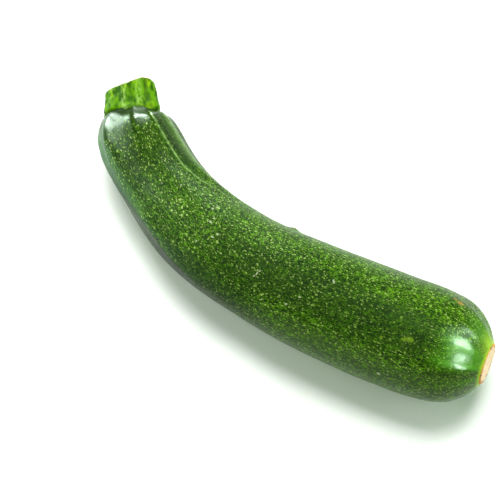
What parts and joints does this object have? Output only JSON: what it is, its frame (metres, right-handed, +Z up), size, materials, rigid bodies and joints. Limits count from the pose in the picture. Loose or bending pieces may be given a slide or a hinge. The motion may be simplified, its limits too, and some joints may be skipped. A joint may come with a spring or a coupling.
{
  "type": "courgette",
  "caption": "Whole dark green courgette with a gently bent, speckled fruit, a ribbed neck, a cut green stub of stem and a dry blossom scar, lying on its side.",
  "frame": {"origin": "middle of the courgette's bounding box, on the surface that it lies on", "axes": "+X runs towards the blossom end, +Y is the side that the hollow of the bend faces, +Z is up"},
  "size_m": [0.2046, 0.0626, 0.0462],
  "materials": {
    "skin": "thin waxy rind, dark green with small pale green specks that run lengthwise, satin to glossy",
    "stalk": "fibrous bright yellow-green stem with pale ridges, and a dull straw-coloured cut face",
    "scar": "dry, matt, corky tan plate with a ragged orange-brown rim"
  },
  "bodies": {
    "root": {"fruit": "skin", "stem": "stalk"}
  },
  "joints": []
}
